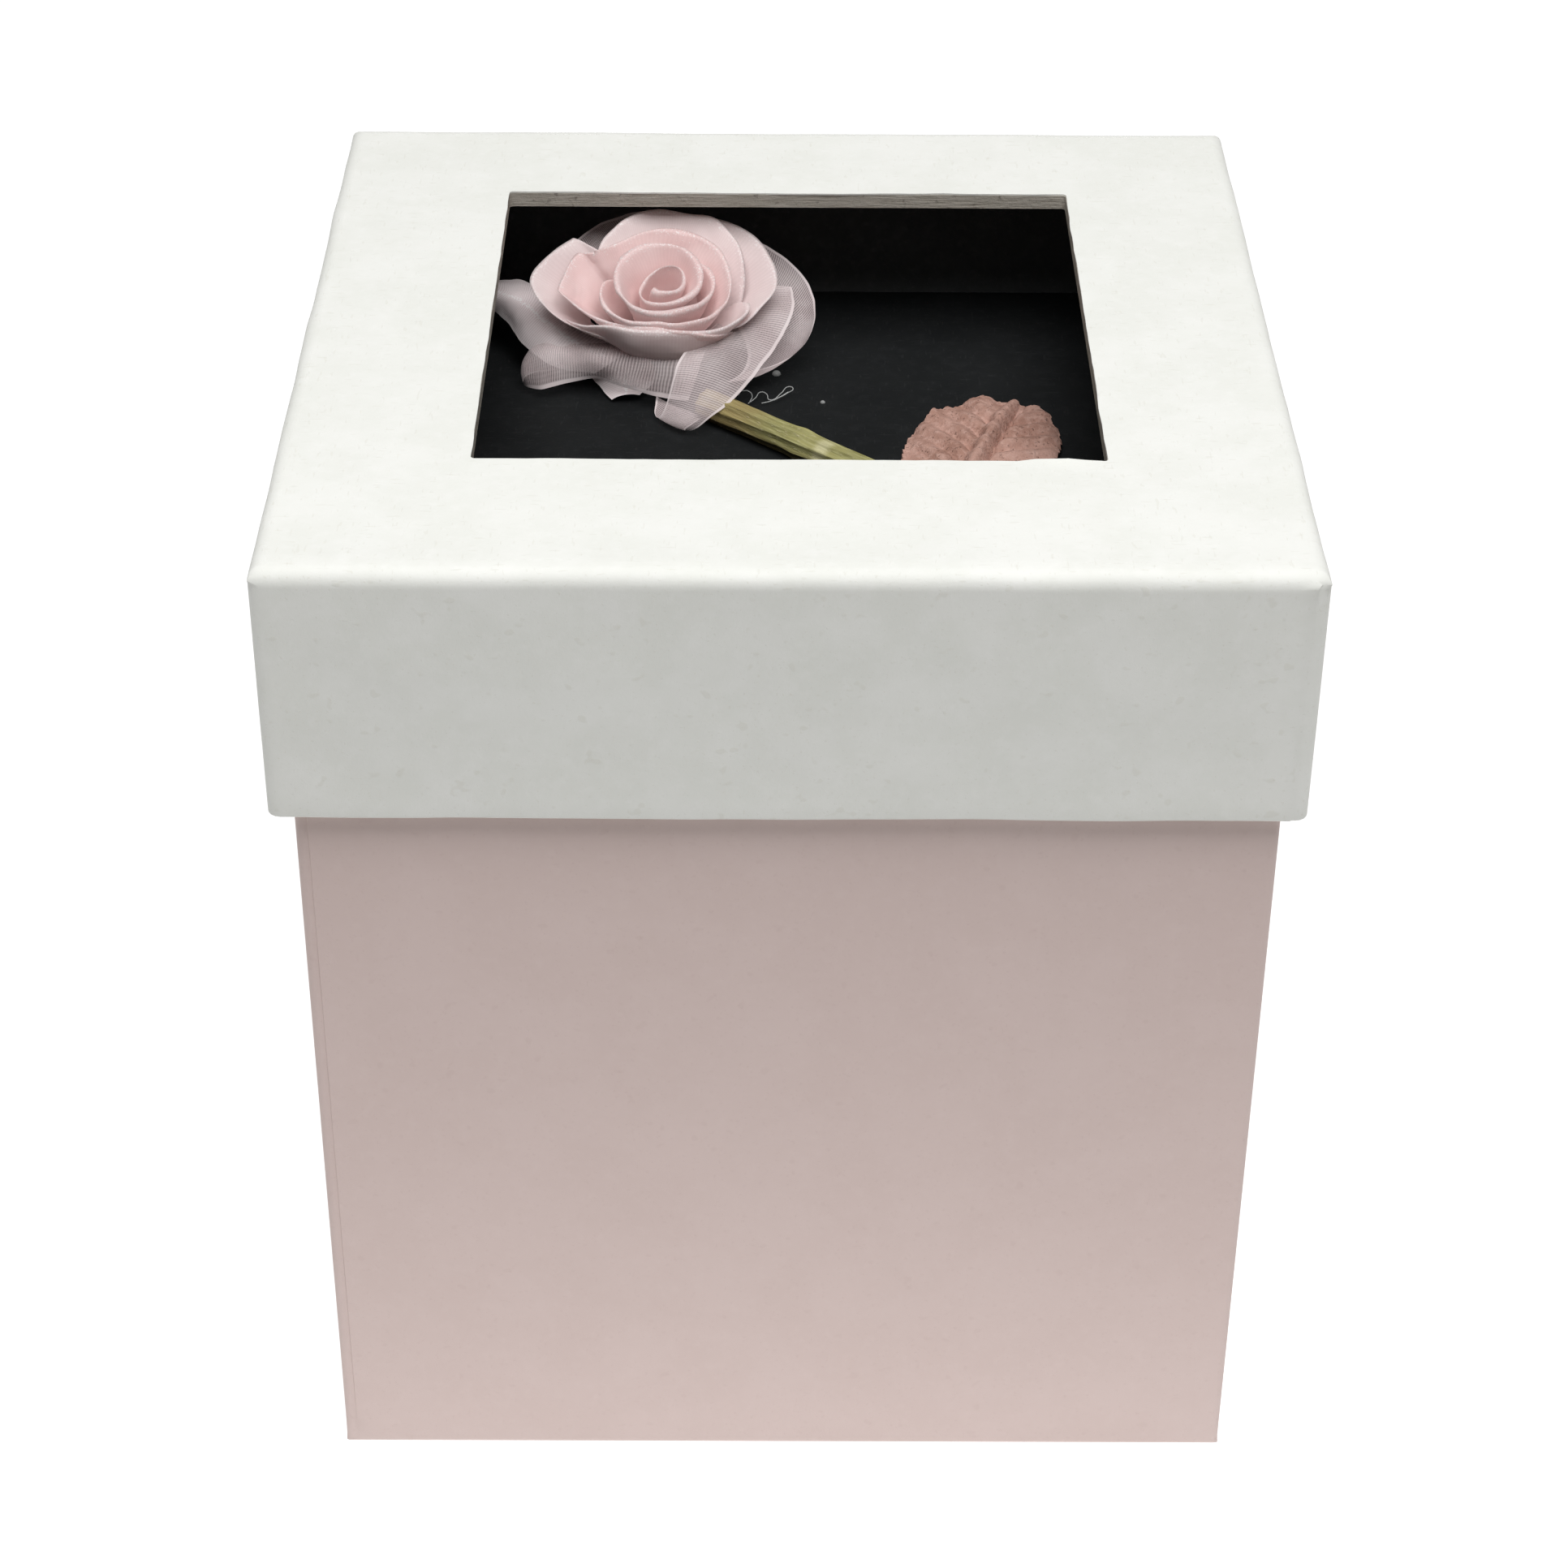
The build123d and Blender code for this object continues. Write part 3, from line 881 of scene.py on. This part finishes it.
loopPlans = {
    "roseLoopBack": (["rose_loop_back"], {"crumple": 0.3, "seed": 2.2, "stations": (
        ((-30.5, 38.5, 10.5), (-28.5, 36.5, 9.5), (-24.5, 33.0, 5.5)),
        ((-27.4, 41.8, 13.2), (-25.0, 38.5, 12.0), (-21.5, 35.0, 6.5)),
        ((-25.1, 43.8, 14.2), (-22.5, 40.5, 13.0), (-19.5, 36.5, 7.0)),
        ((-22.3, 45.4, 15.0), (-20.0, 41.5, 13.5), (-17.5, 37.5, 7.5)),
        ((-18.0, 46.0, 15.5), (-16.8, 42.0, 14.0), (-15.0, 38.0, 7.5)),
        ((-12.0, 45.5, 15.0), (-12.2, 41.5, 13.5), (-12.0, 37.5, 7.5)),
        ((-6.5, 43.5, 13.4), (-7.5, 40.0, 12.0), (-9.0, 36.0, 7.0)),
    )}),
    "roseLoopRight": (["rose_loop_right"], {"crumple": 0.2, "seed": 3.6, "stations": (
        ((-6.5, 43.0, 13.6), (-7.5, 40.0, 12.0), (-9.0, 36.0, 7.5)),
        ((-2.6, 42.4, 12.4), (-3.6, 39.6, 9.6), (-8.0, 34.6, 6.4)),
        ((0.6, 41.2, 10.6), (-0.6, 37.8, 7.8), (-6.4, 33.0, 5.6)),
        ((3.0, 38.4, 8.6), (0.8, 34.6, 5.8), (-5.4, 31.0, 4.6)),
        ((3.7, 33.8, 6.6), (1.2, 31.0, 3.6), (-5.0, 28.6, 3.4)),
        ((2.5, 30.0, 4.9), (-0.2, 27.8, 2.2), (-5.6, 26.0, 2.6)),
        ((-0.6, 27.6, 3.2), (-3.6, 25.4, 1.4), (-7.6, 24.4, 2.0)),
        ((-5.0, 26.6, 2.2), (-7.0, 25.0, 1.2), (-10.4, 24.6, 1.8)),
    )}),
    "roseLoopFront": (["rose_loop_front"], {"crumple": 0.18, "seed": 4.5, "stations": (
        ((0.7, 37.6, 8.9), (-3.0, 36.0, 10.3), (-7.8, 33.4, 8.8)),
        ((0.9, 33.0, 8.2), (-3.6, 31.6, 9.6), (-8.6, 29.2, 8.4)),
        ((-0.3, 28.3, 6.9), (-5.4, 28.0, 9.0), (-10.4, 25.6, 8.2)),
        ((-2.4, 24.0, 5.6), (-7.4, 24.2, 8.4), (-12.4, 22.6, 8.0)),
        ((-4.5, 20.0, 4.6), (-9.4, 20.4, 7.6), (-13.7, 20.6, 6.9)),
        ((-6.8, 16.2, 3.7), (-11.4, 16.4, 6.2), (-14.5, 18.4, 4.8)),
        ((-9.6, 13.8, 2.4), (-12.8, 13.6, 3.6), (-15.3, 16.8, 2.6)),
        ((-11.6, 13.2, 1.1), (-14.0, 13.4, 1.6), (-16.0, 16.4, 1.0)),
        ((-12.8, 14.4, 0.5), (-15.2, 15.4, 0.6), (-16.6, 18.0, 0.8)),
        ((-10.6, 17.8, 0.4), (-13.0, 19.0, 0.6), (-16.4, 21.4, 1.4)),
    )}),
    "roseLoopFrontLeft": (["rose_loop_front_left"], {
        "crested": True, "crumple": 0.22, "seed": 5.8, "stations": (
        ((-12.5, 20.0, 1.6), (-10.5, 22.5, 6.6), (-10.0, 26.5, 6.2)),
        ((-16.5, 20.2, 2.0), (-15.5, 22.6, 6.6), (-15.5, 27.5, 6.0)),
        ((-20.5, 21.5, 2.6), (-19.6, 22.6, 6.4), (-19.5, 28.0, 5.8)),
        ((-24.6, 23.6, 2.8), (-24.4, 24.0, 6.2), (-23.8, 29.5, 5.2)),
        ((-28.4, 23.8, 1.8), (-28.4, 26.6, 5.8), (-27.0, 31.0, 4.8)),
        ((-31.4, 23.2, 1.4), (-31.4, 26.4, 5.2), (-29.6, 31.5, 4.6)),
        ((-33.6, 25.3, 1.0), (-33.8, 27.0, 3.6), (-31.8, 31.3, 4.2)),
        ((-32.8, 28.5, 0.8), (-32.8, 29.7, 2.6), (-31.2, 32.0, 3.6)),
        ((-29.0, 29.8, 0.8), (-29.2, 30.6, 2.4), (-28.4, 32.4, 3.4)),
    )}),
    "roseLoopLeft": (["rose_loop_left"], {
        "crested": True, "crumple": 0.25, "seed": 6.9, "dense": True, "stations": (
        ((-44.0, 45.0, 5.8), (-42.5, 44.5, 7.5), (-41.0, 45.5, 6.5)),
        ((-42.3, 41.6, 5.6), (-39.8, 40.4, 7.7), (-39.6, 43.4, 7.0)),
        ((-38.8, 38.2, 5.4), (-36.1, 37.2, 7.8), (-36.4, 42.2, 7.4)),
        ((-36.4, 35.4, 4.8), (-34.3, 35.7, 7.7), (-34.0, 42.0, 7.4)),
        ((-34.2, 30.6, 4.4), (-31.5, 31.5, 7.3), (-29.5, 37.0, 7.0)),
        ((-31.8, 27.6, 3.6), (-28.7, 28.1, 6.8), (-26.0, 33.5, 6.5)),
        ((-28.5, 25.5, 3.0), (-24.8, 25.4, 5.8), (-22.5, 29.5, 5.8)),
        ((-24.5, 24.8, 2.8), (-21.5, 25.0, 5.0), (-19.5, 28.5, 5.0)),
    )}),
    "ribbonTail": ([], {"crumple": 0.3, "seed": 9.1, "dense": True, "stations": (
        ((-28.4, 35.0, 1.4), (-23.4, 35.0, 4.4), (-18.4, 33.5, 2.0)),
        ((-26.6, 31.0, 1.2), (-21.9, 31.5, 5.0), (-17.2, 29.5, 1.8)),
        ((-24.6, 26.5, 0.6), (-20.8, 25.9, 3.6), (-16.8, 26.5, 1.2)),
        ((-22.4, 21.9, 0.5), (-20.8, 21.5, 1.8), (-18.8, 22.5, 1.0)),
    )}),
}
for loopName, (loopNodes, loopPlan) in loopPlans.items():
    looseLoop(loopName, loopNodes, loopPlan)
print("outer loops laid")


# dried stem: a ribbed rod with a joint, cut square at its far end

def stemFinish():
    finish = Finish("driedStem", Specular_IOR_Level=0.35)
    place = finish.place()
    along = finish.parts(finish.cloth())[0]
    skin = finish.cloth()
    fibre = finish.cloud(finish.stretched(skin, (260, 3400, 1)), 1.0, 3, 0.6)
    broad = finish.cloud(finish.stretched(skin, (90, 900, 1)), 1.0, 2)
    chips = finish.step(finish.cloud(finish.stretched(skin, (900, 3000, 1)), 1.0, 3), 0.58, 0.68)
    tone = finish.mix(finish.step(broad, 0.35, 0.65), (0.22, 0.205, 0.075), (0.36, 0.335, 0.13))
    tone = finish.mix(finish.step(fibre, 0.4, 0.72), tone, (0.43, 0.41, 0.19))
    tone = finish.mix(chips * 0.55, tone, (0.56, 0.50, 0.30))
    # browner towards the rose, painted shade along the underside near the floor, pale at the joint
    high = finish.parts(place)[2]
    browned = 1 - finish.step(along, 2 * mm, 9 * mm)
    # painted shade: the lower side of the rod, next to the floor, is darkened
    paintedUnderShade = 1 - finish.step(high, floorTop + 0.9 * mm, floorTop + 2.3 * mm)
    tone = finish.mix(browned * 0.55, tone, (0.30, 0.20, 0.085))
    tone = finish.mix(paintedUnderShade * 0.75, tone, (0.11, 0.075, 0.035))
    joint = 1 - finish.step((along - stemPlan["joint"]).size(), 0.3 * mm, 1.6 * mm)
    tone = finish.mix(joint * finish.step(broad, 0.3, 0.6) * 0.7, tone, (0.66, 0.62, 0.38))
    finish.feed("Base Color", tone)
    finish.feed("Roughness", 0.62 - 0.2 * fibre)
    finish.feed("Normal", finish.bump(fibre * 0.8 + broad * 0.3 + chips * 0.4, 0.6, 0.00025))
    return finish.material


stemPlan = {
    "turn": -42.4, "radius": 1.95 * mm, "lift": 0.2 * mm, "long": 58 * mm, "tuckedIn": 4 * mm,
    "joint": 16.5 * mm, "jointReach": 1.3 * mm, "jointSwell": 0.10, "ribs": 9, "ribDepth": 0.13,
    "twist": 0.25, "waist": 0.015, "dent": 0.035, "bow": 0.25 * mm, "step": 0.7 * mm,
}


def driedStem():
    plan = stemPlan
    low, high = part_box("flower_stem")
    deselectAll()
    bpy.ops.mesh.primitive_cylinder_add(vertices=84, radius=plan["radius"], depth=plan["long"])
    piece = bpy.context.object
    piece.name = "flowerStem"
    piece.rotation_euler = (0, radians(90), 0)
    settle(piece)
    editPiece(piece)
    sliceEvery(0, -plan["long"] / 2, plan["long"] / 2, plan["step"])
    pick(piece, "faces", lambda c, f: abs(f.normal.x) > 0.9)
    bpy.ops.mesh.inset(thickness=0.25 * mm, depth=-0.12 * mm)
    bpy.ops.mesh.inset(thickness=0.5 * mm, depth=-0.2 * mm)
    leaveEdit()

    def shape(co):
        around = atan2(co.z, co.y)
        out = sqrt(co.y ** 2 + co.z ** 2)
        along = co.x + plan["long"] / 2
        twist = plan["twist"] * sin(along / (19 * mm))
        ridge = abs(sin(plan["ribs"] / 2 * (around + twist)))
        swell = plan["jointSwell"] * exp(-((along - plan["joint"]) / plan["jointReach"]) ** 2)
        waist = plan["waist"] * wave(co, 9 * mm, 4.2)
        dent = plan["dent"] * wave(Vector((co.x / 9, co.y, co.z)), 1.3 * mm, 8.8)
        share = 1 - plan["ribDepth"] * ridge + swell + waist + dent
        bow = plan["bow"] * sin(pi * along / plan["long"])
        if out < 0.05 * mm:
            return Vector((0, bow, 0))
        return Vector((0, co.y * (share - 1) + bow, co.z * (share - 1)))

    nudge(piece, shape)
    uvs = piece.data.uv_layers[0] if piece.data.uv_layers else piece.data.uv_layers.new(name="UVMap")
    for loop in piece.data.loops:
        co = piece.data.vertices[loop.vertex_index].co
        along = co.x + plan["long"] / 2 - plan["tuckedIn"]
        uvs.data[loop.index].uv = (along, atan2(co.y, co.z) * plan["radius"])
    middle = (low + high) / 2
    turn = radians(plan["turn"])
    ahead = Vector((cos(turn), sin(turn), 0))
    piece.rotation_euler = (0, 0, turn)
    piece.location = middle - ahead * plan["tuckedIn"] / 2 + Vector((0, 0, plan["lift"]))
    settle(piece)
    smooth(piece, 35)
    finishPiece(piece, stemFinish(), "lid", ["flower_stem"])


driedStem()
print("stem made")


# leaf: powdery, creased along its midrib, with small teeth round its edge

leafPlan = {
    "turn": 72.0, "long": 27.2 * mm, "wide": 18.8 * mm, "lift": 0.75 * mm, "thick": 0.28 * mm,
    "teeth": 58, "tooth": 0.26 * mm, "nick": 0.05, "nickTurn": 0.28, "blunt": 0.045, "dimple": 0.18 * mm,
    "midrib": 0.3 * mm, "ribHigh": 0.75, "creaseDeep": 1.0, "veinDeep": 0.72, "veinHigh": 0.36, "arch": 1.1,
    "veins": (-9.5, -5.8, -2.0, 2.0, 6.0),
}


def leafFinish():
    finish = Finish("dustyLeaf", Specular_IOR_Level=0.2)
    place = finish.place()
    dust = finish.cloud(place, 900, 4, 0.7)
    patch = finish.cloud(place, 160, 3)
    speck = finish.step(finish.cloud(place, 2300, 2), 0.62, 0.72)
    tone = finish.mix(finish.step(patch, 0.35, 0.65), (0.36, 0.20, 0.155), (0.50, 0.30, 0.245))
    tone = finish.mix(finish.step(dust, 0.42, 0.7) * 0.6, tone, (0.61, 0.40, 0.34))
    tone = finish.mix(speck * 0.4, tone, (0.28, 0.15, 0.115))
    finish.feed("Base Color", tone)
    finish.feed("Roughness", 0.78 + 0.15 * dust)
    finish.feed("Normal", finish.bump(dust * 0.8 + speck * 0.3, 0.9, 0.0005))
    return finish.material


def leafHeight(along, across):
    # along from the foot to the tip and across to the right, in mm from the leaf's middle
    plan = leafPlan
    rib = across - plan["midrib"] / mm - 0.012 * along ** 2 / 10
    height = plan["ribHigh"] * exp(-(rib / 0.75) ** 2) - plan["creaseDeep"] * exp(-((rib - 1.35) / 0.5) ** 2)
    height -= 0.35 * exp(-((rib + 1.5) / 0.8) ** 2)
    for foot in plan["veins"]:
        for side, slope in ((-1, 0.85), (1, 0.7)):
            run = side * rib
            if run > 0:
                away = (along - foot - slope * run) / 0.75
                height -= plan["veinDeep"] * exp(-away ** 2) * min(1, run / 1.2) * max(0.0, 1 - run / 9.5)
                crest = (along - foot - 1.7 - slope * run) / 1.0
                height += plan["veinHigh"] * exp(-crest ** 2) * min(1, run / 1.5)
    edge = sqrt((along / 13.6) ** 2 + (across / 9.4) ** 2)
    height += plan["arch"] * (1 - edge ** 2) + 0.5 * edge ** 6 * sin(across * 0.9 + along * 0.35)
    return height


def leaf():
    plan = leafPlan
    low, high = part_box("flower_leaf")
    deselectAll()
    bpy.ops.mesh.primitive_grid_add(x_subdivisions=120, y_subdivisions=96, size=2)
    piece = bpy.context.object
    piece.name = "flowerLeaf"
    middle = (low + high) / 2
    turn = radians(plan["turn"])
    ahead = Vector((cos(turn), sin(turn), 0))
    right = Vector((sin(turn), -cos(turn), 0))
    for v in piece.data.vertices:
        # the square becomes a round, then a leaf with a blunt tip
        s, t = v.co.x, v.co.y
        x = s * sqrt(1 - t * t / 2)
        y = t * sqrt(1 - s * s / 2)
        reach = sqrt(x * x + y * y)
        around = atan2(y, x)
        tooth = (plan["teeth"] * around / (2 * pi)) % 1.0
        uneven = 0.5 * noise.noise(Vector((around * 6, 3.3, 1.1)))
        notch = plan["tooth"] * (tooth - 0.6 + uneven) * reach ** 14
        nick = plan["nick"] * exp(-((around - plan["nickTurn"]) / 0.05) ** 2) * reach ** 8
        blunt = 1 + plan["blunt"] * max(0.0, cos(around)) ** 2 * reach ** 2 - nick
        along = x * plan["long"] / 2 * blunt
        across = y * plan["wide"] / 2 * (1 + 0.05 * max(0.0, x)) * blunt
        if reach > 0.01:
            along += notch * x / reach
            across += notch * y / reach
        relief = leafHeight(along / mm, across / mm) * mm
        relief += plan["dimple"] * noise.noise(Vector((x * 9, y * 7, 2.5)))
        v.co = Vector((middle.x, middle.y, floorTop + plan["lift"])) + ahead * along + right * across
        v.co.z += max(relief, -0.4 * mm)
    applyModifier(piece, "SOLIDIFY", thickness=plan["thick"], offset=0)
    smooth(piece, 60)
    finishPiece(piece, leafFinish(), "lid", ["flower_leaf"])


leaf()
print("leaf made")


# hot glue: a pad under the rose, two drops and the fine strings the gun leaves

def glueFinish():
    finish = Finish("hotGlue", Specular_IOR_Level=0.6, Base_Color=(0.80, 0.81, 0.80, 1), Alpha=0.34)
    place = finish.place()
    haze = finish.cloud(place, 500, 3)
    finish.feed("Roughness", 0.12 + 0.2 * haze)
    finish.feed("Normal", finish.bump(haze, 0.2, 0.0002))
    return finish.material


gluePlan = {"string": 0.06 * mm, "lump": 0.14, "beadHalf": 0.6 * mm, "smallBead": 0.55}
hotGlue = glueFinish()


def glueDrop(name, low, high):
    deselectAll()
    bpy.ops.mesh.primitive_uv_sphere_add(segments=32, ring_count=20, radius=1)
    piece = bpy.context.object
    piece.name = name
    size = high - low
    piece.scale = (size.x / 2, size.y / 2, size.z)
    piece.location = ((low.x + high.x) / 2, (low.y + high.y) / 2, low.z)
    settle(piece)
    editPiece(piece)
    bpy.ops.mesh.select_all(action="SELECT")
    justAbove = (0, 0, low.z + 0.02 * mm)
    bpy.ops.mesh.bisect(plane_co=justAbove, plane_no=(0, 0, 1), clear_inner=True, use_fill=True)
    leaveEdit()

    def lump(co):
        away = co - Vector(((low.x + high.x) / 2, (low.y + high.y) / 2, co.z))
        return away * gluePlan["lump"] * wave(co, 2.2 * mm, 5.1)

    nudge(piece, lump)
    smooth(piece, 60)
    return piece


def glueString(points):
    deselectAll()
    bpy.ops.curve.primitive_bezier_curve_add()
    piece = bpy.context.object
    piece.matrix_world = Matrix()
    line = piece.data
    line.splines.clear()
    run = line.splines.new("BEZIER")
    run.bezier_points.add(len(points) - 1)
    for knot, (x, y, z) in zip(run.bezier_points, points):
        knot.co = Vector((x * mm, y * mm, floorTop + z * mm))
        knot.handle_left_type = "AUTO"
        knot.handle_right_type = "AUTO"
    line.bevel_depth = gluePlan["string"]
    line.bevel_resolution = 2
    line.resolution_u = 6
    line.use_fill_caps = True
    workOn(piece)
    bpy.ops.object.convert(target="MESH")
    return bpy.context.object


# the strings' runs, in mm with z above the recess floor
glueStrings = (
    ((-6.2, 20.6, 3.2), (-6.0, 21.8, 2.2), (-5.6, 23.4, 1.2), (-4.9, 23.9, 0.9), (-4.4, 22.8, 0.8),
     (-4.7, 21.4, 0.7)),
    ((-4.9, 21.3, 0.5), (-4.0, 22.2, 0.8), (-3.2, 23.7, 0.9), (-2.6, 23.4, 0.8), (-2.1, 22.1, 0.6),
     (-0.7, 23.4, 0.9), (0.3, 24.8, 1.1), (0.8, 24.6, 1.0), (0.0, 23.5, 0.8), (-1.6, 22.2, 0.5)),
    ((-3.2, 21.6, 0.4), (-2.0, 22.0, 0.5), (-0.9, 22.7, 0.7), (0.2, 23.9, 0.8)),
)


def glue():
    pad = glueDrop("gluePad", gluePadLow, gluePadHigh)
    finishPiece(pad, hotGlue, "lid", ["glue_pad"])
    low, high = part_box("glue_beads")
    half = gluePlan["beadHalf"]
    wide = Vector((half, half, 0))
    tall = Vector((0, 0, high.z - low.z))
    beadPlaces = (Vector((low.x + half, high.y - half, low.z)), Vector((high.x - half, low.y + half, low.z)))
    drops = [glueDrop("glueDrop", place - wide, place + wide + tall) for place in beadPlaces]
    there = Matrix.Translation(beadPlaces[1])
    drops[1].data.transform(there @ Matrix.Scale(gluePlan["smallBead"], 4) @ there.inverted())
    strings = [glueString(points) for points in glueStrings]
    deselectAll()
    for piece in drops + strings:
        piece.select_set(True)
    bpy.context.view_layer.objects.active = drops[0]
    bpy.ops.object.join()
    beads = bpy.context.object
    beads.name = "glueDropsAndStrings"
    smooth(beads, 60)
    finishPiece(beads, hotGlue, "lid", ["glue_beads"])


glue()
print("glue made")


# finishes of the pieces that stay as they are

def dressFrame():
    slots = {entry["node"]: entry["material_slot"] for entry in frame["record"]["subparts"]}
    looks = {
        "greyboard": greyboard, "stay_tape": kraftTape, "pink_paper": pink,
        "ivory_paper": ivory, "black_paper": black, "black_card": blackCard,
    }
    for name, node in frame["nodes"].items():
        if slots[name] in looks:
            node.data.materials.clear()
            node.data.materials.append(looks[slots[name]])


dressFrame()
print("boards and linings dressed")
